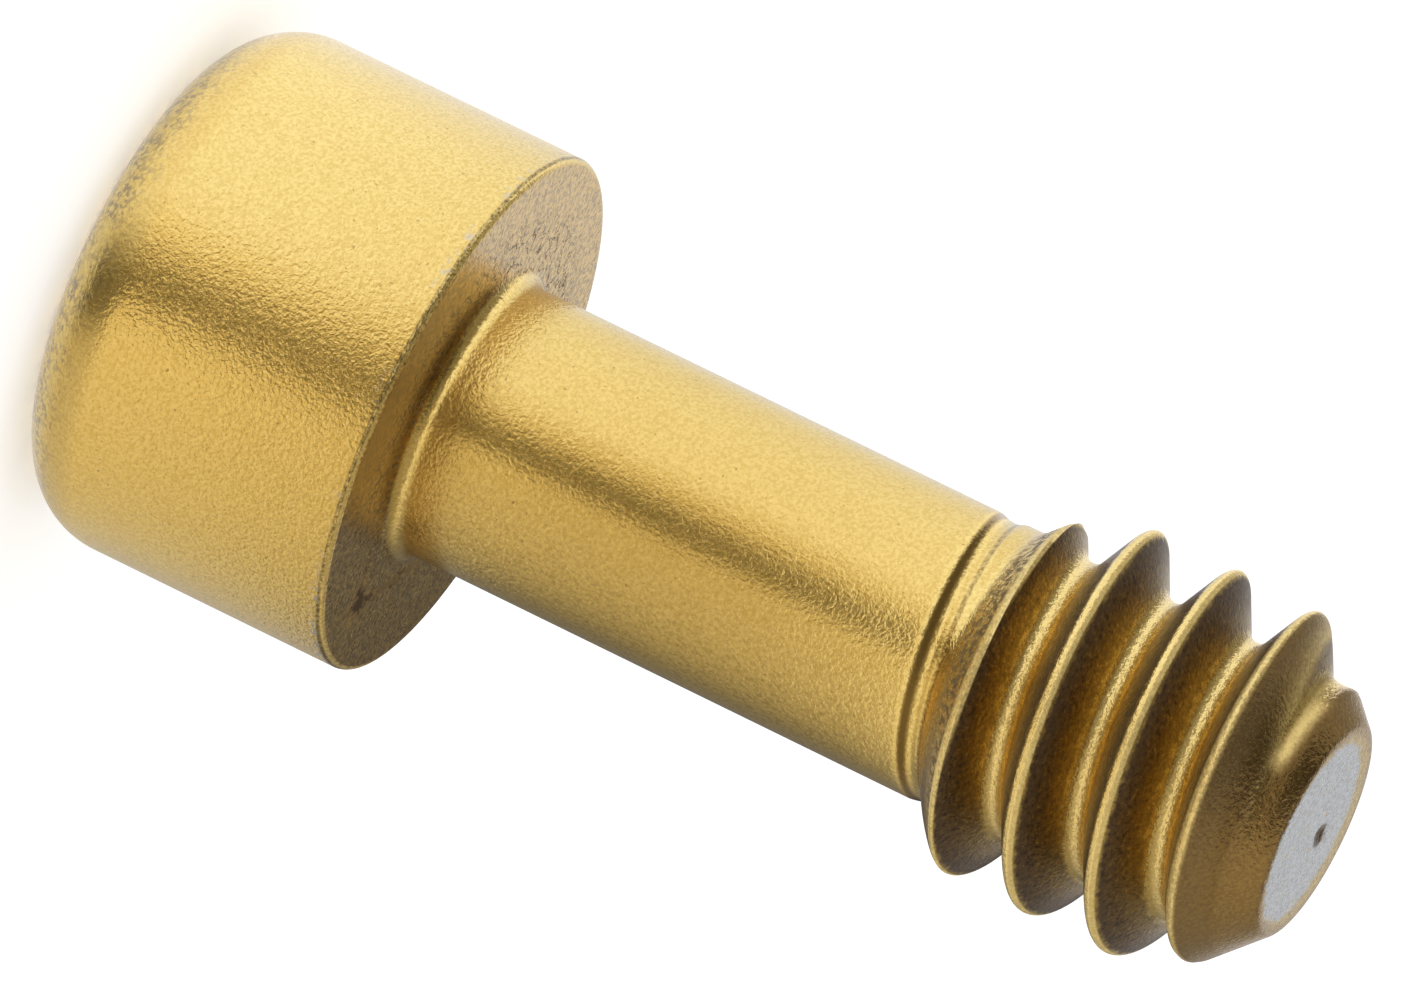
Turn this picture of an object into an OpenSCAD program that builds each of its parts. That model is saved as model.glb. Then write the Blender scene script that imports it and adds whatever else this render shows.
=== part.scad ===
// Miniature coated bolt, turned from one bar: a round head with a hexagon socket, a plain
// shank about as thick as the thread's core, and a short coarse thread with a chamfered tip.
// It stands on its drive face: z = 0 is the top of the head and +Z points to the tip.

/* [Head] */
// Diameter of the head
head_d = 2.12; // [1.8:0.01:2.6]
// Height of the head, from the drive face to the bearing face
head_h = 1.4; // [1.2:0.01:2.2]
// Radius of the large round between the drive face and the side of the head
head_round = 0.333; // [0.1:0.001:0.4]
// Radius of the small edge break round the bearing face
bearing_break = 0.028; // [0.008:0.001:0.04]

/* [Drive socket] */
// Width of the hexagon socket across its flats
socket_af = 0.9; // [0.6:0.01:1]
// Depth of the socket's straight walls
socket_depth = 0.75; // [0.4:0.01:0.85]
// Included angle of the drill point at the bottom of the socket
drill_angle = 118; // [90:1:140]
// Width of the chamfer round the socket's mouth, past the hexagon's corners
socket_break = 0.03; // [0.01:0.005:0.06]

/* [Shank] */
// Diameter of the plain shank
shank_d = 1.11; // [0.9:0.01:1.2]
// Length of the shank, from the bearing face to the foot of the thread's start chamfer
shank_l = 2.245; // [1:0.005:4]
// Fillet between the shank and the bearing face
shank_fillet = 0.07; // [0.02:0.005:0.12]

/* [Thread] */
// Major diameter of the thread
thread_d = 1.5; // [1.4:0.01:1.7]
// Pitch of the right-hand thread
pitch = 0.35; // [0.25:0.005:0.4]
// Length of the threaded end, from the foot of its start chamfer to the end face
thread_l = 1.42; // [1:0.01:3]
// Included angle of the thread's groove
flank_angle = 60; // [55:1:65]
// Slope of the start chamfer, measured from the axis
start_slope = 45; // [30:1:60]
// Angle, from +X, at which a crest crosses the foot of the start chamfer
crest_turn = 157; // [0:1:359]
// Length of full groove that is cut into the shank ahead of the start chamfer
lead_groove = 0.15; // [0.05:0.01:0.3]
// Length over which that groove then fades out
groove_fade = 0.15; // [0.1:0.01:0.3]
// Softness of the edges where the groove leaves a turned surface
edge_blend = 0.03; // [0.01:0.005:0.05]

/* [Tip] */
// Diameter at which the tip chamfer would meet the end face
tip_d = 0.86; // [0.6:0.01:0.95]
// Slope of the tip chamfer, measured from the axis
tip_slope = 45; // [30:1:55]
// Radius of the rim round the end face
tip_round = 0.05; // [0.02:0.005:0.1]
// Softness of the edges where the groove runs out through the tip chamfer
tip_blend = 0.09; // [0.03:0.01:0.12]

/* [Hidden] */
$fn = 96;
past = 0.1;                               // how far a cutter runs past the face it opens
columns = 60;                             // facets round the thread
join_step = 0.003;                        // the thread's neck lies this far inside the shank
join_depth = 0.04;                        // it reaches this deep into the shank's end
join_rise = 0.01;                         // and this far out of it

head_r = head_d / 2;
shank_r = shank_d / 2;
thread_r = thread_d / 2;
tip_r = tip_d / 2;

// Heights along the axis
foot_z = head_h + shank_l;                // foot of the start chamfer
tip_z = foot_z + thread_l;                // end face
fade_z = foot_z - lead_groove;            // the groove starts to lift out of the shank here
neck_z = fade_z - groove_fade - pitch / 4; // plain shank below, threaded end above

// Thread section, a metric one cut a little wide: crest flat of P/10, groove bottom rounded
half_angle = flank_angle / 2;
crest_half = pitch / 20;
root_round = pitch / 6;
root_half = root_round * cos(half_angle); // where the root's arc turns into the flank
sharp_root_r = thread_r - (pitch / 2 - crest_half) / tan(half_angle);
root_r = sharp_root_r + root_round * (1 / sin(half_angle) - 1);
crest_z = foot_z - pitch * crest_turn / 360; // a crest's height at angle 0
fade_lift = thread_r - root_r;            // the faded groove lies clear of the shank

// Rows of the thread's surface in one pitch, measured from the middle of the crest
edge_half = edge_blend * tan(half_angle) / 2;
half_rows = [max(crest_half - edge_half, crest_half / 3), crest_half + edge_half, pitch / 4,
             pitch / 2 - root_half, pitch / 2 - root_half / 2];
rows = concat([for (i = [len(half_rows) - 1:-1:0]) -half_rows[i]], half_rows, [pitch / 2]);
row_gap = pitch / len(rows) / 3;          // rows nearer than this to an end are dropped
first_turn = floor((neck_z - crest_z) / pitch) - 2;
turns = ceil((tip_z - neck_z) / pitch) + 6;
row_count = len(rows) * turns;

// Tip rim, from the chamfer round to the end face
rim_r = tip_r - tip_round * tan((90 - tip_slope) / 2);
rim_angles = [for (i = [0:3]) tip_slope + i * (90 - tip_slope) / 3];
rim_z = tip_z - tip_round * (1 - sin(tip_slope));

// The lesser of two radii, with the corner between them softened over width k
function soft_min(a, b, k) =
    let (h = max(k - abs(a - b), 0) / k)
    min(a, b) - h * h * k / 4;

// Radius of the groove alone, at height z and angle a
function groove_r(z, a) =
    let (turn = (z - crest_z) / pitch - a / 360,
         off = turn - floor(turn) - 0.5,            // from the middle of the groove, in pitches
         e = abs(off) * pitch,
         middle_z = z - off * pitch,
         lift = fade_lift * max(0, fade_z - middle_z) / groove_fade)
    lift + (e < root_half
        ? root_r + root_round - sqrt(root_round * root_round - e * e)
        : sharp_root_r + e / tan(half_angle));

// Radius of the turned blank before the groove is cut, up to the tip chamfer
function blank_r(z) = min(thread_r, shank_r + max(0, z - foot_z) * tan(start_slope));

// Radius of the tip chamfer
function tip_chamfer_r(z) = tip_r + (tip_z - z) * tan(tip_slope);

// Radius of the finished thread
function surface_r(z, a) =
    soft_min(soft_min(groove_r(z, a), blank_r(z), edge_blend), tip_chamfer_r(z), tip_blend);

function at(r, a, z) = [r * cos(a), r * sin(a), z];
function column_a(i) = i * 360 / columns;
function row_z(i, j) =
    crest_z + pitch * (first_turn + floor(j / len(rows)) + i / columns) + rows[j % len(rows)];

// Points: the neck's two rings, the rim's rings, then the helical rows of each column
neck_points = [for (z = [neck_z - join_depth, neck_z + join_rise], i = [0:columns - 1])
    at(shank_r - join_step, column_a(i), z)];
rim_points = [for (b = rim_angles, i = [0:columns - 1])
    at(rim_r + tip_round * cos(b), column_a(i), tip_z - tip_round * (1 - sin(b)))];
row_points = [for (i = [0:columns - 1], j = [0:row_count - 1])
    let (z = row_z(i, j))
    at(surface_r(z, column_a(i)), column_a(i), z)];
first_rim = len(neck_points);
first_row = first_rim + len(rim_points);
last_ring = first_row - columns;

// Index of the point in column i and row j: rows past either end close on that end's ring
function point_at(i, j) =
    let (z = row_z(i, j), c = i % columns)
    z < neck_z + join_rise + row_gap ? columns + c
    : z > rim_z - row_gap ? first_rim + c
    : first_row + c * row_count + j + (i < columns ? 0 : len(rows));

function differs(f) = f[0] != f[1] && f[1] != f[2] && f[2] != f[0];

// Side faces between one ring and the next
function band(low, high) = [for (i = [0:columns - 1])
    let (n = (i + 1) % columns)
    each [[low + i, high + n, low + n], [low + i, high + i, high + n]]];

row_faces = [for (i = [0:columns - 1], j = [0:row_count - len(rows) - 1])
    let (p = point_at(i, j), q = point_at(i + 1, j),
         r = point_at(i + 1, j + 1), s = point_at(i, j + 1))
    each [for (f = [[p, r, q], [p, s, r]]) if (differs(f)) f]];
rim_faces = [for (k = [first_rim:columns:last_ring - columns]) each band(k, k + columns)];
end_faces = [[for (i = [0:columns - 1]) i], [for (i = [columns - 1:-1:0]) last_ring + i]];

// Half section of the head and the plain shank
module body_section() {
    translate([0, head_round]) square([head_r, head_h - head_round - bearing_break]);
    translate([0, head_round]) square([head_r - bearing_break, head_h - head_round]);
    square([head_r - head_round, head_h]);
    translate([head_r - head_round, head_round]) circle(head_round);
    translate([head_r - bearing_break, head_h - bearing_break]) circle(bearing_break);
    square([shank_r, neck_z]);
    translate([shank_r, head_h]) difference() {
        square(shank_fillet);
        translate([shank_fillet, shank_fillet]) circle(shank_fillet);
    }
}

// Hexagon socket with a chamfered mouth and a drill point
module drive_socket() {
    corner_r = socket_af / sqrt(3);
    mouth_r = corner_r + socket_break;
    translate([0, 0, -past]) cylinder(r = corner_r, h = socket_depth + past, $fn = 6);
    translate([0, 0, socket_depth])
        cylinder(r1 = socket_af / 2, r2 = 0, h = socket_af / 2 / tan(drill_angle / 2));
    translate([0, 0, -past]) cylinder(r1 = mouth_r + past, r2 = 0, h = mouth_r + past);
}

module threaded_end() {
    polyhedron(concat(neck_points, rim_points, row_points),
               concat(end_faces, band(0, columns), row_faces, rim_faces));
}

module bolt() {
    color("goldenrod") union() {
        difference() {
            rotate_extrude() body_section();
            drive_socket();
        }
        threaded_end();
    }
}

bolt();
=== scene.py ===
import math

import bmesh
import bpy
from mathutils import Matrix, Vector


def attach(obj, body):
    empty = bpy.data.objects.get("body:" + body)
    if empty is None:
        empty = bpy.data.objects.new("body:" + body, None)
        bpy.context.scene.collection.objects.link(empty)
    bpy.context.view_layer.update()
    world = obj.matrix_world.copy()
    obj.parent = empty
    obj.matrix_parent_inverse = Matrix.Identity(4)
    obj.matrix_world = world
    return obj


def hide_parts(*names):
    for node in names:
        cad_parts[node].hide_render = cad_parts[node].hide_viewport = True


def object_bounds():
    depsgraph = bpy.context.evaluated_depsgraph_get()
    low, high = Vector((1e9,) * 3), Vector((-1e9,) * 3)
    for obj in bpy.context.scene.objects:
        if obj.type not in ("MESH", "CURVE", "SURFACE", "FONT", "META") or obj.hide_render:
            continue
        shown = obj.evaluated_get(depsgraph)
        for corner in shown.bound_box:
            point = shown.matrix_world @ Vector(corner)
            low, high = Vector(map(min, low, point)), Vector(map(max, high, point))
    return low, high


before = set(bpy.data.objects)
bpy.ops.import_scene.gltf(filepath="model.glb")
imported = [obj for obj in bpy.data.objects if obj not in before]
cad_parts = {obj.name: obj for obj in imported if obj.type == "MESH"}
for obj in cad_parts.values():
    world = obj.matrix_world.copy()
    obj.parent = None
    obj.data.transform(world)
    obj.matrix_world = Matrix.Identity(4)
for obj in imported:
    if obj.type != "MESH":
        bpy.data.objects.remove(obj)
cadLow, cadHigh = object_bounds()
mm = 0.001  # sizes below are in millimetres, the scene is in metres
print("frame loaded:", sorted(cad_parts))

# Sizes of the bolt, the same as those of its solid, and how fine its mesh is
boltSize = {
    "steps": 240,  # columns round the axis, a multiple of 12
    "headR": (cadHigh[0] - cadLow[0]) / 2 / mm,
    "headH": 1.4,
    "headRound": 0.333,
    "headFacets": 28,
    "bearingBreak": 0.028,
    "breakFacets": 8,
    "socketAf": 0.9,
    "socketDepth": 0.75,
    "drillAngle": 118,
    "socketBreak": 0.03,
    "shankD": 1.11,
    "shankFillet": 0.07,
    "filletFacets": 12,
    "footZ": 3.645,  # foot of the thread's start chamfer
    "tipZ": cadHigh[2] / mm,
    "threadD": 1.5,
    "pitch": 0.35,
    "flankAngle": 60,
    "crestTurn": 157,  # where a crest crosses the foot of the start chamfer
    "leadGroove": 0.15,
    "grooveFade": 0.15,
    "edgeBlend": 0.03,
    "footBlend": 0.03,
    "chamfer": 45,  # slope of the start and tip chamfers
    "tipD": 0.86,
    "tipRound": 0.05,
    "tipBlend": 0.09,
    "rimFacets": 8,
    "endRings": 24,
    "pipAt": (0.007, 0.085),
    "pipSize": (0.036, 0.05),
    "pipDepth": 0.02,
    "supportGap": 0.012,  # extra loops beside the rounds keep the flats flat
    "sharpAngle": 38,
}
weld = 0.0005  # points nearer than this become one
snap = 0.0001  # points nearer than this to a cut lie on it


def lesser(a, b, blend):
    # the smaller of two radii with the corner between them softened
    h = max(blend - abs(a - b), 0) / blend
    return min(a, b) - h * h * blend / 4


def greater(a, b, blend):
    return -lesser(-a, -b, blend)


def arc(centreR, centreZ, radius, start, end, count):
    # points of a round in the half section, from one angle to another
    angles = [math.radians(start + (end - start) * i / count) for i in range(count + 1)]
    return [(centreR + radius * math.cos(a), centreZ + radius * math.sin(a)) for a in angles]


class ThreadForm:
    def __init__(self, size):
        self.size = size
        self.pitch = size["pitch"]
        self.tipZ = size["tipZ"]
        self.tipR = size["tipD"] / 2
        self.shankR = size["shankD"] / 2
        self.threadR = size["threadD"] / 2
        self.chamfer = math.tan(math.radians(size["chamfer"]))
        half = math.radians(size["flankAngle"] / 2)
        self.slope = 1 / math.tan(half)
        self.crestHalf = self.pitch / 20
        self.rootRound = self.pitch / 6
        self.rootHalf = self.rootRound * math.cos(half)
        self.sharpRootR = self.threadR - (self.pitch / 2 - self.crestHalf) * self.slope
        self.rootR = self.sharpRootR + self.rootRound * (1 / math.sin(half) - 1)
        self.crestZ = size["footZ"] - self.pitch * size["crestTurn"] / 360
        self.fadeZ = size["footZ"] - size["leadGroove"]
        self.neckZ = self.fadeZ - size["grooveFade"] - self.pitch / 4

    def grooveR(self, z, angle):
        turn = (z - self.crestZ) / self.pitch - angle / (2 * math.pi)
        off = turn - math.floor(turn) - 0.5
        e = abs(off) * self.pitch
        middle = z - off * self.pitch
        fade = max(0, self.fadeZ - middle) / self.size["grooveFade"]
        lift = (self.threadR - self.rootR) * fade
        if e < self.rootHalf:
            return lift + self.rootR + self.rootRound - math.sqrt(self.rootRound ** 2 - e * e)
        return lift + self.sharpRootR + e * self.slope

    def radius(self, z, angle):
        rise = greater(0, z - self.size["footZ"], self.size["footBlend"]) * self.chamfer
        blank = lesser(self.threadR, self.shankR + rise, self.size["edgeBlend"])
        tip = self.tipR + (self.tipZ - z) * self.chamfer
        cut = lesser(self.grooveR(z, angle), blank, self.size["edgeBlend"])
        return lesser(cut, tip, self.size["tipBlend"])

    def rows(self):
        # heights in one pitch from the middle of a crest: close at the crest and the root
        crestRows, flankRows, rootRows = 6, 5, 6
        edge = self.crestHalf + self.size["edgeBlend"] / self.slope
        root = self.pitch / 2 - self.rootHalf
        half = [edge * i / crestRows for i in range(crestRows)]
        half += [edge + (root - edge) * i / flankRows for i in range(flankRows)]
        half += [root + self.rootHalf * i / rootRows for i in range(rootRows)]
        return [-h for h in reversed(half[1:])] + half + [self.pitch / 2]


def turned(points, steps, rise=0, marked=()):
    # a line of points taken once round the axis, climbing by rise: one sector is spun, then copied
    sectors = 12
    part = 2 * math.pi / sectors
    bm = bmesh.new()
    layer = bm.verts.layers.float.new("pointMark")
    verts = [bm.verts.new((r, 0, z)) for r, z in points]
    for index in marked:
        verts[index][layer] = index
    edges = [bm.edges.new(pair) for pair in zip(verts, verts[1:])]
    bmesh.ops.spin(bm, geom=verts + edges, cent=(0, 0, 0), axis=(0, 0, 1), angle=part,
                   steps=steps // sectors, dvec=(0, 0, rise / steps))
    strip = bm.verts[:] + bm.edges[:] + bm.faces[:]
    for sector in range(1, sectors):
        copy = bmesh.ops.duplicate(bm, geom=strip)["geom"]
        moved = [item for item in copy if isinstance(item, bmesh.types.BMVert)]
        bmesh.ops.rotate(bm, verts=moved, cent=(0, 0, 0),
                         matrix=Matrix.Rotation(part * sector, 3, "Z"))
        bmesh.ops.translate(bm, verts=moved, vec=(0, 0, rise * sector / sectors))
    bmesh.ops.remove_doubles(bm, verts=bm.verts, dist=weld)
    return bm


def joined(parts):
    whole = bmesh.new()
    for bm in parts:
        carrier = bpy.data.meshes.new("carrier")
        bm.to_mesh(carrier)
        bm.free()
        whole.from_mesh(carrier)
        bpy.data.meshes.remove(carrier)
    return whole


def addPiece(name, bm):
    mesh = bpy.data.meshes.new(name)
    bm.to_mesh(mesh)
    bm.free()
    piece = bpy.data.objects.new(name, mesh)
    bpy.context.scene.collection.objects.link(piece)
    return piece


def openEdges(bm, z, reach):
    return [e for e in bm.edges if e.is_boundary
            and all(abs(v.co.z - z) < reach for v in e.verts)]


def makeThread(thread, steps, rimZ):
    # a helical sheet with turns to spare, pushed in to the groove's form, then cut at both ends
    firstTurn = math.floor((thread.neckZ - thread.crestZ) / thread.pitch) - 2
    lastTurn = math.ceil((thread.tipZ - thread.crestZ) / thread.pitch) + 1
    heights = [thread.crestZ + thread.pitch * turn + row
               for turn in range(firstTurn, lastTurn) for row in thread.rows()]
    bm = turned([(thread.threadR, z) for z in heights], steps, thread.pitch)
    for v in bm.verts:
        angle = math.atan2(v.co.y, v.co.x)
        r = thread.radius(v.co.z, angle)
        v.co.x = r * math.cos(angle)
        v.co.y = r * math.sin(angle)
    for z, side in ((thread.neckZ, "clear_inner"), (rimZ, "clear_outer")):
        bmesh.ops.bisect_plane(bm, geom=bm.verts[:] + bm.edges[:] + bm.faces[:], dist=snap,
                               plane_co=(0, 0, z), plane_no=(0, 0, 1), **{side: True})
    return bm


def makeHead(size, neckZ):
    # head, socket and shank from one half section; the socket's two loops then take six sides
    gap, headR, headH = size["supportGap"], size["headR"], size["headH"]
    headRound, brk = size["headRound"], size["bearingBreak"]
    fillet, shankR = size["shankFillet"], size["shankD"] / 2
    sixth = math.radians(60)
    flatR = size["socketAf"] / 2
    cornerR = flatR / math.cos(sixth / 2)
    mouthR = cornerR + size["socketBreak"]
    depth = size["socketDepth"]
    point = depth + flatR / math.tan(math.radians(size["drillAngle"] / 2))
    section = [(0, point), (flatR, depth), (cornerR, depth), (cornerR, depth / 3),
               (mouthR, 0), (mouthR + gap, 0), (headR - headRound - gap, 0)]
    section += arc(headR - headRound, headRound, headRound, -90, 0, size["headFacets"])
    section += [(headR, headRound + gap), (headR, headH - brk - gap)]
    section += arc(headR - brk, headH - brk, brk, 0, 90, size["breakFacets"])
    section += [(headR - brk - gap, headH), (shankR + fillet + gap, headH)]
    section += arc(shankR + fillet, headH + fillet, fillet, 270, 180, size["filletFacets"])
    section += [(shankR, headH + fillet + gap), (shankR, neckZ - gap)]
    floorLoop, mouthLoop = 2, 3  # the two points with cornerR
    bm = turned(section, size["steps"], marked=(floorLoop, mouthLoop))
    mark = bm.verts.layers.float["pointMark"]
    for v in bm.verts:
        if v[mark] > 0:
            angle = math.atan2(v.co.y, v.co.x)
            r = flatR / math.cos(angle % sixth - sixth / 2)
            z = depth if v[mark] == floorLoop else mouthR - r
            v.co = (r * math.cos(angle), r * math.sin(angle), z)
    return bm


def makeEndFace(size):
    # flat end with a rounded rim, and the pip that parting off left in it
    slope, rim, tipZ = size["chamfer"], size["tipRound"], size["tipZ"]
    rings = size["endRings"]
    rimR = size["tipD"] / 2 - rim * math.tan(math.radians((90 - slope) / 2))
    section = arc(rimR, tipZ - rim, rim, slope, 90, size["rimFacets"])
    section += [(rimR * (1 - i / rings), tipZ) for i in range(1, rings + 1)]
    bm = turned(section, size["steps"])
    for v in bm.verts:
        across = (v.co.x - size["pipAt"][0]) / size["pipSize"][0]
        along = (v.co.y - size["pipAt"][1]) / size["pipSize"][1]
        v.co.z -= size["pipDepth"] * math.exp(-across * across - along * along)
    return bm


def makeBolt(size):
    gap = size["supportGap"]
    thread = ThreadForm(size)
    rimZ = size["tipZ"] - size["tipRound"] * (1 - math.sin(math.radians(size["chamfer"])))
    bm = joined([makeHead(size, thread.neckZ),
                 makeThread(thread, size["steps"], rimZ - gap / 3),
                 makeEndFace(size)])
    bmesh.ops.bridge_loops(bm, edges=openEdges(bm, thread.neckZ - gap / 2, gap))
    bmesh.ops.bridge_loops(bm, edges=openEdges(bm, rimZ, gap))
    bmesh.ops.recalc_face_normals(bm, faces=bm.faces)
    bmesh.ops.scale(bm, vec=(mm, mm, mm), verts=bm.verts)
    print("bolt mesh:", len(bm.faces), "faces,", sum(e.is_boundary for e in bm.edges), "open edges")
    piece = addPiece("boltTurned", bm)
    for polygon in piece.data.polygons:
        polygon.use_smooth = True
    piece.data.set_sharp_from_angle(angle=math.radians(size["sharpAngle"]))
    return piece


class Wire:
    # a node's output that sums, products and other nodes can use
    def __init__(self, tree, socket=None):
        self.tree = tree
        self.socket = socket

    def node(self, kind, settings, sockets, out=0):
        made = self.tree.nodes.new(kind)
        for name, value in settings.items():
            if name == "stops":
                self.setStops(made.color_ramp, value)
            else:
                setattr(made, name, value)
        for name, value in sockets.items():
            if isinstance(value, Wire):
                self.tree.links.new(value.socket, made.inputs[name])
            else:
                made.inputs[name].default_value = value
        return Wire(self.tree, made.outputs[out] if made.outputs else None)

    def setStops(self, ramp, stops):
        while len(ramp.elements) < len(stops):
            ramp.elements.new(1)
        for element, (place, colour) in zip(ramp.elements, stops):
            element.position = place
            element.color = colour

    def other(self, out):
        return Wire(self.tree, self.socket.node.outputs[out])

    def math(self, operation, *values):
        return self.node("ShaderNodeMath", {"operation": operation}, dict(enumerate(values)))

    def vector(self, operation, sockets, out=0):
        return self.node("ShaderNodeVectorMath", {"operation": operation}, sockets, out)

    def __add__(self, other):
        return self.math("ADD", self, other)

    def __radd__(self, other):
        return self.math("ADD", other, self)

    def __sub__(self, other):
        return self.math("SUBTRACT", self, other)

    def __rsub__(self, other):
        return self.math("SUBTRACT", other, self)

    def __mul__(self, other):
        return self.math("MULTIPLY", self, other)

    def __rmul__(self, other):
        return self.math("MULTIPLY", other, self)

    def size(self):
        return self.math("ABSOLUTE", self)

    def step(self, start, end):
        # 0 before start, 1 after end, smooth between
        return self.node("ShaderNodeMapRange", {"interpolation_type": "SMOOTHSTEP"},
                         {"Value": self, "From Min": start, "From Max": end})

    def noise(self, scale, detail=2.0, roughness=0.5, distortion=0.0):
        return self.node("ShaderNodeTexNoise", {}, {
            "Vector": self, "Scale": scale, "Detail": detail, "Roughness": roughness,
            "Distortion": distortion})

    def mix(self, a, b):
        # colour a where this value is 0, colour b where it is 1
        return self.node("ShaderNodeMix", {"data_type": "RGBA"}, {0: self, 6: a, 7: b}, out=2)


def newMaterial(name):
    material = bpy.data.materials.new(name)
    material.use_nodes = True
    tree = material.node_tree
    return material, Wire(tree), tree.nodes["Principled BSDF"]


def feed(wire, shader, name):
    wire.tree.links.new(wire.socket, shader.inputs[name])


# The blasted gold coat and its wear, with painted highlights and painted shade; lengths in millimetres,
# from the bolt's own frame
goldCoat = {
    "gold": (0.89, 0.65, 0.225, 1),
    "deep": (0.76, 0.53, 0.155, 1),  # between the grains
    # dark pits in the grain, also the painted shade on one side of the shank
    "pit": (0.36, 0.235, 0.075, 1),
    "paintedHighlight": (0.97, 0.73, 0.28, 1),  # painted highlight lines on the thread
    "stain": (0.31, 0.24, 0.16, 1),  # rubbing on the round of the head
    "chip": (0.62, 0.56, 0.45, 1),
    "dull": (0.62, 0.395, 0.115, 1),  # underside of the head
    # painted shade at the front of the head's underside, beside the shank
    "corner": (0.22, 0.12, 0.02, 1),
    # dark brown of scuffs, also used for painted shade on the rim and the flanks
    "scuff": (0.075, 0.05, 0.03, 1),
    "soil": (0.23, 0.125, 0.027, 1),  # painted shade on the flanks and where the groove runs in
    # darker painted shade, nearer the crests and on the start chamfer
    "soilDark": (0.12, 0.082, 0.052, 1),
    "scorch": (0.5, 0.305, 0.13, 1),  # darker tone on the tip chamfer
    "bare": (0.68, 0.675, 0.665, 1),
    "bareDark": (0.5, 0.495, 0.485, 1),
    "pip": (0.14, 0.085, 0.045, 1),
    "roughness": 0.15,
    "coat": 0.1,
    "coatRoughness": 0.3,
    "grain": 60,  # cells in a millimetre
    "grainHeight": 0.0038,
    "scuffAt": (0.82, -0.17),
    "scratches": ((0.9, 0.44, 0.655), (0.65, -0.76, 0.66)),  # normal and distance of two lines
    "chamferHighlightDrop": 0.118,  # painted highlight on the tip chamfer, below the end face
    "bareAt": (0.01, -0.055),
    "bareR": 0.365,
}


class CoatField:
    # places on the bolt, and the noises that the grain and the wear follow
    def __init__(self, start, look):
        place = start.node("ShaderNodeTexCoord", {}, {}, out=3)
        self.coord = place.vector("SCALE", {0: place, "Scale": 1 / mm})
        self.x = self.coord.node("ShaderNodeSeparateXYZ", {}, {0: self.coord})
        self.y, self.z = self.x.other(1), self.x.other(2)
        self.flat = self.coord.vector("MULTIPLY", {0: self.coord, 1: (1, 1, 0)})
        self.radius = self.fromPoint((0, 0))
        self.grain = self.coord.noise(look["grain"], 2.0, 0.5, 0.4)
        self.speckle = self.coord.noise(look["grain"] * 1.1, 3.0, 0.65).step(0.36, 0.62)
        self.pits = self.coord.noise(look["grain"] * 0.8, 2.0).step(0.31, 0.24)
        self.blotch = self.coord.noise(9, 3.0, 0.6)
        self.ragged = self.coord.noise(22, 3.0, 0.6) - 0.5
        self.wavyR = self.radius + self.ragged * 0.05

    def fromPoint(self, point):
        return self.flat.vector("DISTANCE", {0: self.flat, 1: (*point, 0)}, out=1)

    def line(self, acrossX, acrossY, distance):
        # a thin ragged line across the axis
        away = self.x * acrossX + self.y * acrossY + self.ragged * 0.1 - distance
        return away.size().step(0.035, 0.01)


def headWearAndPaintedLight(field, look, size):
    # round rubbed; underside browned and scuffed, with painted shade at its front; its rim chipped, with a
    # painted highlight and painted shade along it
    coord, x, y, z = field.coord, field.x, field.y, field.z
    radius, ragged, speckle = field.radius, field.ragged, field.speckle
    headR, headH, shankR = size["headR"], size["headH"], size["shankD"] / 2
    rubbed = z.step(0.27, 0.08) * coord.noise(40, 3.0, 0.6).step(0.45, 0.57)
    rubbed = rubbed * field.blotch.step(0.3, 0.6)

    facing = z.step(headH - 0.006, headH - 0.001) * z.step(headH + 0.012, headH + 0.004)
    # painted shade: a dark strip at the front of the underside beside the shank, where the shank's dark
    # reflection falls
    corner = facing * (x.size() + ragged * 0.3).step(shankR + 0.12, shankR - 0.3)
    corner = corner * y.step(0.1, -0.5) * (radius.step(0.62, 1) * 0.5 + 0.5)
    browned = facing * coord.noise(48, 4.0, 0.7).step(0.56, 0.4)
    crack = (coord.noise(14, 3.0, 0.55) - 0.5).size().step(0.026, 0.006)
    crack = crack * field.wavyR.step(0.9, 0.75)
    scrape = (field.fromPoint(look["scuffAt"]) + ragged * 0.3).step(0.12, 0.05)
    scrape = scrape * (1 - speckle * 0.4)
    first, second = (field.line(*line) for line in look["scratches"])
    scratch = first * y.step(0.38, 0.3) + second * x.step(0.86, 0.8)
    scratch = scratch * x.step(0.5, 0.58) * y.step(-0.42, -0.36) * (1 - speckle * 0.5)
    scuff = facing * (crack + scrape + scratch)

    # painted highlight: a gold line round the rim of the underside; beside it, painted shade: a dark line
    rimHighlight = z.step(headH - 0.014, headH - 0.009) * radius.step(headR - 0.027, headR - 0.02)
    rimHighlight = rimHighlight * radius.step(headR - 0.004, headR - 0.01)
    rimHighlight = rimHighlight * (speckle * 0.5 + field.blotch * 0.6)
    rimShade = z.step(headH - 0.03, headH - 0.022) * z.step(headH - 0.01, headH - 0.015)
    rimShade = rimShade * radius.step(headR - 0.02, headR - 0.012) * (0.8 - speckle * 0.5)
    chips = z.step(headH - 0.07, headH - 0.04) * z.step(headH - 0.018, headH - 0.028)
    chips = chips * radius.step(headR - 0.01, headR - 0.004) * coord.noise(34, 3.0).step(0.5, 0.6)
    chips = chips * (coord.noise(4, 1.0).step(0.5, 0.6) * 0.8 + x.step(0.5, 0.9) * 0.6)

    layers = [(rubbed, 0.8, "stain"), (facing, 0.85, "dull"), (corner, 1, "corner"),
              (browned, 0.55, "scuff"), (scuff, 0.8, "scuff"), (rimHighlight, 1, "gold"),
              (rimShade, 1, "scuff"), (chips, 0.8, "chip")]
    return layers, rimHighlight * 0.35 + facing * 0.08 + scuff * 0.7


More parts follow.
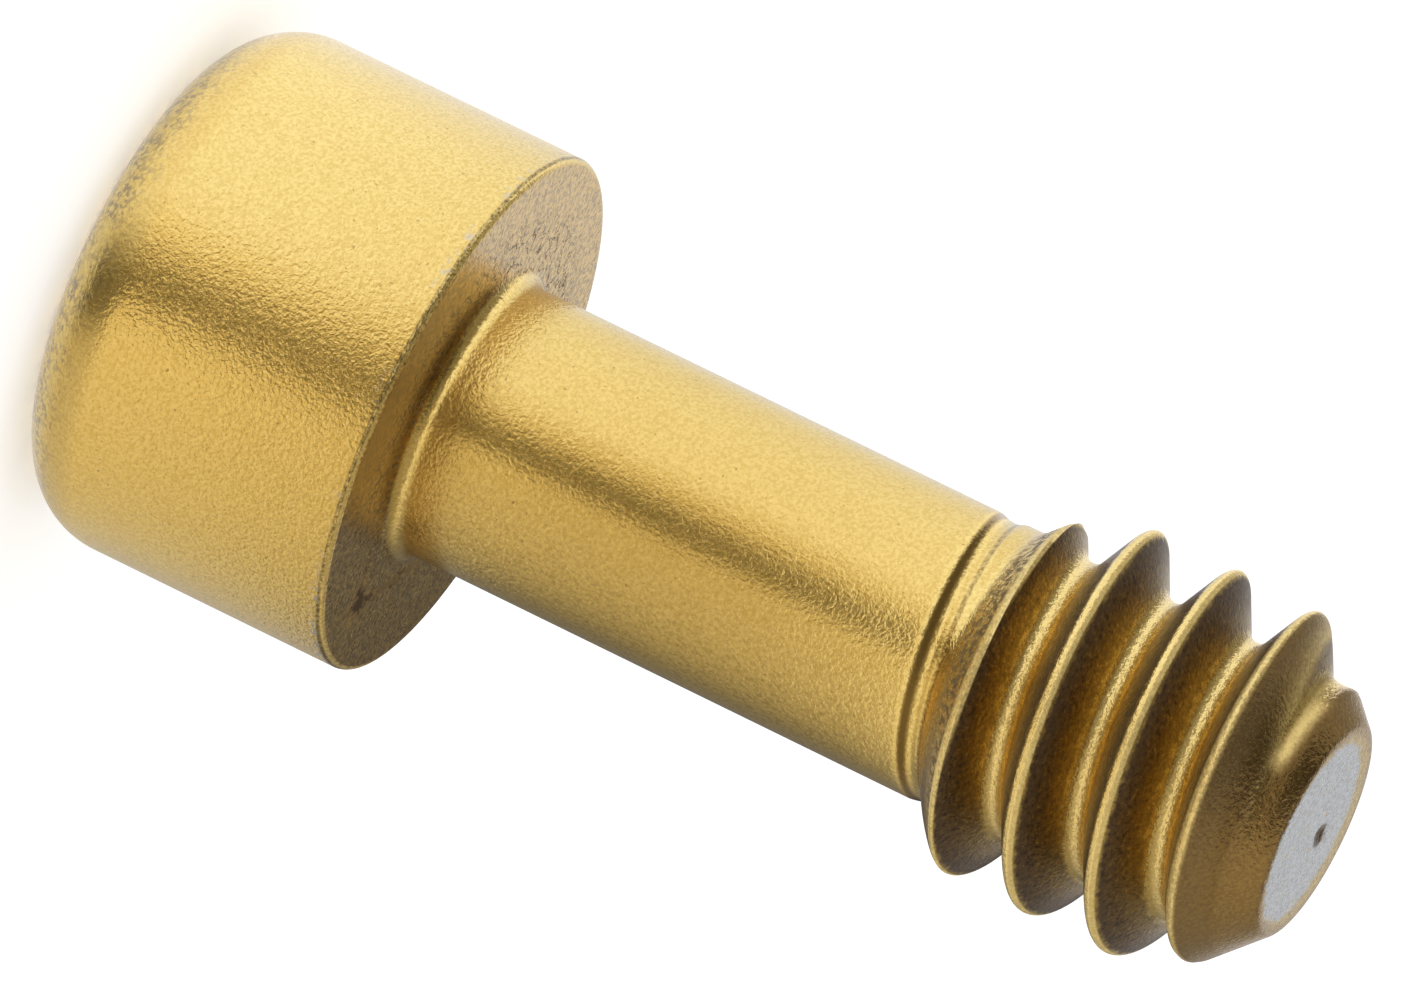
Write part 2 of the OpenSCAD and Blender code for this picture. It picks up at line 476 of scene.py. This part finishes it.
def shankShadedSide(field, size):
    # painted shade: one side darker, mottled with noise
    z, headH, footZ = field.z, size["headH"], size["footZ"]
    shadedMottle = z.step(headH, headH + 0.05) * z.step(footZ - 0.1, footZ - 0.3)
    shadedMottle = shadedMottle * field.x.step(0.05, 0.45)
    return shadedMottle * field.coord.noise(50, 3.0, 0.6).step(0.52, 0.38)


class ThreadMasksAndPaintedLight:
    # masks of the thread, with its painted highlights and painted shade, by pitches past the middle of its
    # groove
    def __init__(self, field, look, size):
        coord, x, y, z = field.coord, field.x, field.y, field.z
        radius, speckle = field.radius, field.speckle
        footZ, tipZ = size["footZ"], size["tipZ"]
        form = ThreadForm(size)
        turn = (z - form.crestZ) * (1 / form.pitch) - y.math("ARCTAN2", y, x) * (0.5 / math.pi)
        off = turn.math("FRACT", turn) - 0.5
        side = off.size()
        land = side * (form.pitch * form.slope) + form.sharpRootR - radius  # how far under the flank's line
        slant = radius + z * form.chamfer  # the same all over the tip chamfer
        tipSlant = form.tipR + tipZ * form.chamfer

        self.threaded = z.step(footZ - 0.02, footZ + 0.06)
        self.chamfer = slant.step(tipSlant - 0.06, tipSlant - 0.015)
        self.onFace = z.step(tipZ - 0.012, tipZ - 0.005)

        # painted highlights: lines on crests and roots, a streak on the tip chamfer and the last ridge's
        # edge
        crestLine = land.step(0.002, 0.008) * land.step(0.11, 0.06) * off.step(0, -0.06)
        crestLine = crestLine + radius.step(form.threadR - 0.015, form.threadR - 0.007)
        rootLine = side.step(0.09, 0.04) * (1 - self.chamfer) * (1 - self.onFace)
        chamferHighlight = (z - tipZ + look["chamferHighlightDrop"]).size().step(0.045, 0) * radius.step(0.48, 0.5)
        self.chamferHighlight = chamferHighlight * x.step(-0.1, -0.22) * x.step(-0.48, -0.4) * y.step(-0.1, -0.2)
        tipEdge = off.step(0, 0.05) * land.step(0.075, 0.035) * z.step(tipZ - 0.55, tipZ - 0.45)
        tipEdge = tipEdge * slant.step(tipSlant - 0.1, tipSlant - 0.055) * radius.step(0.6, 0.64)
        lines = self.threaded * (crestLine * (1 - self.chamfer) + rootLine) + self.chamferHighlight + tipEdge
        self.paintedHighlight = lines * (speckle * 0.4 + 0.6)

        # painted shade: dark lines where the groove runs in, and a dark mottle on the start chamfer
        neck = z.step(footZ - 0.3, footZ - 0.22) * z.step(footZ + 0.06, footZ)
        self.neckFine = neck * off.step(0.05, 0.09) * off.step(0.15, 0.11) * (0.8 - speckle * 0.4)
        self.neckLine = neck * off.step(-0.18, -0.13) * off.step(-0.05, -0.1) * 0.8
        onStart = z.step(footZ - 0.01, footZ + 0.05) * z.step(footZ + 0.3, footZ + 0.25)
        onStart = onStart * land.step(0.02, 0.07)
        self.startShade = onStart * coord.noise(40, 4.0, 0.65).step(0.6, 0.42)

        # painted shade on the flanks, darker towards the crests
        wavyR, shankR, threadR = field.wavyR, form.shankR, form.threadR
        flank = wavyR.step(shankR - 0.01, shankR + 0.02) * 0.72
        flank = (flank + wavyR.step(shankR, shankR + 0.12) * 0.28) * wavyR.step(threadR, threadR - 0.03)
        flank = flank * z.step(footZ - 0.02, footZ + 0.1)
        self.flank = flank * (1 - self.chamfer * 0.55) * (1 - onStart * 0.6)
        self.upper = (side + field.ragged * 0.15).step(0.2, 0.42) * 0.85
        self.flankMottle = coord.noise(48, 4.0, 0.65)

    def paintedFlankShade(self, look):
        # painted shade, mottled with darker and lighter specks
        dark = self.upper.mix(look["soil"], look["soilDark"])
        dark = (self.flankMottle.step(0.49, 0.37) * 0.85).mix(dark, look["scuff"])
        return (self.flankMottle.step(0.54, 0.68) * (1 - self.upper) * 0.4).mix(dark, look["deep"])


def endWear(field, look, size, onFace):
    # end face, left bare when the coated bar was parted off, and its pip
    coord, z, ragged, tipZ = field.coord, field.z, field.ragged, size["tipZ"]
    edge = field.fromPoint(look["bareAt"]) + ragged * 0.08 + coord.noise(60, 2.0) * 0.03
    bare = onFace * edge.step(look["bareR"] + 0.03, look["bareR"])
    bare = bare * coord.noise(34, 2.0).step(0.7, 0.64)
    pip = (field.fromPoint(size["pipAt"]) + ragged * 0.06).step(0.06, 0.04)
    return bare, pip * z.step(tipZ - 0.1, tipZ - 0.05)


def makeGoldCoat(look, size):
    material, start, shader = newMaterial("goldCoat")
    field = CoatField(start, look)
    speckle, grain, headH = field.speckle, field.grain, size["headH"]
    headLayers, headMatt = headWearAndPaintedLight(field, look, size)
    thread = ThreadMasksAndPaintedLight(field, look, size)
    bare, pip = endWear(field, look, size, thread.onFace)

    # each layer has its mask, its share and its colour
    layers = [(field.pits, 0.7, "pit"), (shankShadedSide(field, size), 0.35, "pit")]
    layers += headLayers
    layers += [(thread.neckLine, 1, "soil"), (thread.neckFine, 1, "soil"),
               (thread.startShade, 0.85, "soilDark"),
               (thread.chamfer * thread.threaded, 0.9 - speckle * 0.3, "scorch"),
               (thread.onFace, 0.6 - speckle * 0.4, "stain")]
    colour = speckle.mix(look["deep"], look["gold"])
    for mask, share, tint in layers:
        colour = (mask * share).mix(colour, look[tint])
    colour = thread.flank.mix(colour, thread.paintedFlankShade(look))
    colour = thread.paintedHighlight.mix(colour, look["paintedHighlight"])
    bareGrain = field.coord.noise(70, 3.0).step(0.35, 0.6)
    colour = bare.mix(colour, bareGrain.mix(look["bareDark"], look["bare"]))
    feed(pip.mix(colour, look["pip"]), shader, "Base Color")

    # scuffs, the underside, painted highlights and painted shade are less of a mirror than the coat
    matt = headMatt + thread.paintedHighlight * 0.25 + thread.chamferHighlight * 0.6
    matt = matt + thread.flank * thread.upper * 0.4 + thread.startShade * 0.6
    feed(1 - matt, shader, "Metallic")
    rough = grain * 0.1 + thread.flank * 0.14 + thread.onFace * 0.08 + look["roughness"]
    feed(rough, shader, "Roughness")
    shader.inputs["Specular IOR Level"].default_value = 0
    shader.inputs["Coat Weight"].default_value = look["coat"]
    shader.inputs["Coat Roughness"].default_value = look["coatRoughness"]

    # the grain is shallower on the shank and deepest on the thread
    depth = 1 - field.z.step(headH - 0.05, headH + 0.05) * 0.4 + thread.threaded * 0.7
    relief = grain * depth * look["grainHeight"]
    bump = grain.node("ShaderNodeBump", {}, {"Strength": 1.0, "Distance": mm, "Height": relief})
    feed(bump, shader, "Normal")
    return material


# White studio: a floor under even light, and a tent of paper that only the metal sees.
# Places round the tent go from the camera (0) by the right (90) to behind the bolt (180),
# each with a tone and a warmth. Its sizes are in metres, and pairs are where a tone fades.
studio = {
    "sides": 96,
    "floorR": 1.0,
    "floorColour": 0.86,
    "floorRoughness": 0.9,
    "floorGlow": 0.42,
    "light": 0.85,
    "tentR": 0.005,
    "tentH": 0.011,
    "tentZ": 0.00001,
    "floorTones": [(-90, 1.17, -0.7), (-24, 1.13, -0.5), (-10, 1.07, 1), (5, 0.14, 1.4),
                   (9, 0.14, 1.4), (15, 0.97, 1.1), (80, 0.77, 0.8), (110, 0.68, 0.2),
                   (140, 0.56, 0.2), (178, 0.36, 0.4), (190, 0.9, -0.2), (270, 1.17, -0.7)],
    "nearR": (0.0017, 0.0013),
    "nearTones": [(-90, 1.05, -0.2), (-20, 1.05, 0), (-10, 0.9, 0.3), (0, 0.45, 0.8),
                  (7, 0.2, 1), (15, 0.2, 1), (24, 0.55, 1), (34, 0.66, 0.8), (90, 0.64, 0.4),
                  (150, 0.66, 0.2), (200, 0.85, 0), (270, 1.05, -0.2)],
    "underR": (0.00108, 0.00095),
    "underTone": 0.76,
    "lowZ": (0, 0.0003),
    "lowTones": [(-90, 1.02, -0.2), (-34, 1.02, 0.3), (-20, 0.84, 1.2), (-8, 0.5, 1.4),
                 (0, 0.2, 1.4), (9, 0.2, 1.4), (20, 0.66, 1.3), (70, 0.59, 0.9),
                 (100, 0.42, 0.7), (130, 0.22, 0.4), (174, 0.18, 0.2), (186, 0.82, -0.6),
                 (270, 1.02, -0.2)],
    "midZ": (0.0023, 0.0027),
    "midTones": [(-90, 1.17, -0.6), (-24, 1.15, -0.3), (-6, 1.1, 0.2), (12, 1.05, 0.4),
                 (24, 1.05, 0.3), (80, 0.9, 0.4), (110, 0.66, 0.5), (140, 0.32, 0.6),
                 (160, 0.07, 0.8), (177, 0.05, 0.8), (186, 1.1, 0), (230, 1.15, -0.3),
                 (270, 1.17, -0.6)],
    "highZ": (0.0038, 0.0046),
    "highTones": [(-90, 0.26, 0.8), (-30, 0.24, 1), (10, 0.27, 1), (40, 0.45, 1),
                  (110, 0.36, 1), (150, 0.25, 0.6), (165, 0.72, -0.2), (195, 0.75, -0.2),
                  (210, 0.28, 0.4), (270, 0.26, 0.8)],
    "lidDrop": 0.001,
    "lidTones": [(-90, 0.06, 0.8), (-60, 0.06, 1), (0, 0.09, 1), (40, 0.26, 1), (70, 0.4, 1),
                 (120, 0.38, 1), (150, 0.25, 0.8), (180, 0.12, 0.8), (270, 0.06, 0.8)],
    "lidMiddleR": (0.0013, 0.0008),
    "lidMiddle": 0.4,
}


def grey(tone):
    return (tone, tone, tone, 1)


def paper(tone, warmth=0):
    # warm paper gives back less green and much less blue
    return (tone, tone * (1 - 0.1 * warmth), tone * (1 - 0.3 * warmth), 1)


def roundTones(coord, tones):
    stops = [(0.25 + place / 360, paper(tone, warmth)) for place, tone, warmth in tones]
    turn = coord.node("ShaderNodeTexGradient", {"gradient_type": "RADIAL"}, {0: coord}, out=1)
    return coord.node("ShaderNodeValToRGB", {"stops": stops}, {0: turn})


def makeFloor(look):
    bm = bmesh.new()
    bmesh.ops.create_circle(bm, cap_ends=True, segments=look["sides"], radius=look["floorR"])
    floor = addPiece("floor", bm)
    material, start, shader = newMaterial("floorPaper")
    shader.inputs["Base Color"].default_value = grey(look["floorColour"])
    shader.inputs["Roughness"].default_value = look["floorRoughness"]
    shader.inputs["Specular IOR Level"].default_value = 0.1
    shader.inputs["Emission Strength"].default_value = 1
    camera = start.node("ShaderNodeLightPath", {}, {})
    feed((camera + camera.other("Is Glossy Ray")) * look["floorGlow"], shader, "Emission Color")
    floor.data.materials.append(material)


def tentPaper(look):
    material, start, shader = newMaterial("tentPaper")
    coord = start.node("ShaderNodeTexCoord", {}, {}, out=3)
    z = coord.node("ShaderNodeSeparateXYZ", {}, {0: coord}, out=2)
    radius = coord.vector("LENGTH", {0: coord.vector("MULTIPLY", {0: coord, 1: (1, 1, 0)})}, out=1)
    floor, near, low, mid, high, lid = (
        roundTones(coord, look[name]) for name in
        ("floorTones", "nearTones", "lowTones", "midTones", "highTones", "lidTones"))
    floor = radius.step(*look["nearR"]).mix(floor, near)
    floor = radius.step(*look["underR"]).mix(floor, paper(look["underTone"]))
    lid = radius.step(*look["lidMiddleR"]).mix(lid, paper(look["lidMiddle"]))
    tone = z.step(*look["lowZ"]).mix(floor, low)
    tone = z.step(*look["midZ"]).mix(tone, mid)
    tone = z.step(*look["highZ"]).mix(tone, high)
    tone = z.step(look["tentH"] - look["lidDrop"], look["tentH"]).mix(tone, lid)
    shader.inputs["Base Color"].default_value = grey(0)
    shader.inputs["Specular IOR Level"].default_value = 0
    shader.inputs["Emission Strength"].default_value = 1
    feed(tone, shader, "Emission Color")
    return material


def makeTent(look):
    bm = bmesh.new()
    bmesh.ops.create_cone(bm, cap_ends=True, segments=look["sides"], radius1=look["tentR"],
                          radius2=look["tentR"], depth=look["tentH"])
    bmesh.ops.translate(bm, vec=(0, 0, look["tentH"] / 2 + look["tentZ"]), verts=bm.verts)
    tent = addPiece("lightTent", bm)
    tent.visible_camera = False
    tent.visible_diffuse = False
    tent.visible_shadow = False
    tent.visible_transmission = False
    tent.data.materials.append(tentPaper(look))


def makeLight(look):
    world = bpy.data.worlds.new("evenLight")
    world.use_nodes = True
    world.cycles_visibility.glossy = False  # the metal sees the tent instead
    bpy.context.scene.world = world
    background = world.node_tree.nodes["Background"]
    background.inputs["Color"].default_value = grey(1)
    background.inputs["Strength"].default_value = look["light"]


# Camera: the bolt leans down to the right in the picture, its tip towards the camera
shot = {
    "lens": 900,
    "tilt": 15.4,  # the tip's lean towards the camera
    "turn": 25.97,  # of the axis below the picture's horizontal
    "pixel": 1 / 267.4,  # millimetres at the axis
    "imageW": 1402,
    "axisOff": 34.5,  # pixels from the picture's middle to the axis
    "headBack": 608,  # pixels from the picture's middle to the drive face, along the axis
    "clipRange": 10,  # nearest and farthest distance seen, as shares of the camera's own
}


def makeCamera(look):
    tilt, turn = math.radians(look["tilt"]), math.radians(look["turn"])
    back = Vector((0, -math.cos(tilt), math.sin(tilt)))
    along = Vector((0, math.sin(tilt), math.cos(tilt)))
    across = Vector((1, 0, 0))
    right = along * math.cos(turn) - across * math.sin(turn)
    down = along * math.sin(turn) + across * math.cos(turn)
    middleZ = look["headBack"] * look["pixel"] / math.cos(tilt)
    middle = Vector((-look["axisOff"] * look["pixel"], 0, middleZ)) * mm
    data = bpy.data.cameras.new("camera")
    data.lens = look["lens"]
    width = look["imageW"] * look["pixel"] * mm
    distance = width * data.lens / data.sensor_width
    data.clip_start = distance / look["clipRange"]
    data.clip_end = distance * look["clipRange"]
    camera = bpy.data.objects.new("camera", data)
    camera.matrix_world = Matrix.LocRotScale(
        middle + back * distance, Matrix((right, -down, back)).transposed(), None)
    bpy.context.scene.collection.objects.link(camera)
    bpy.context.scene.camera = camera


bolt = makeBolt(boltSize)
bolt.data.materials.append(makeGoldCoat(goldCoat, boltSize))
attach(bolt, "root")
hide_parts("bolt")
print("bolt finished")

makeFloor(studio)
makeTent(studio)
makeLight(studio)
makeCamera(shot)
bpy.context.scene.view_settings.view_transform = "Standard"
print("studio ready")
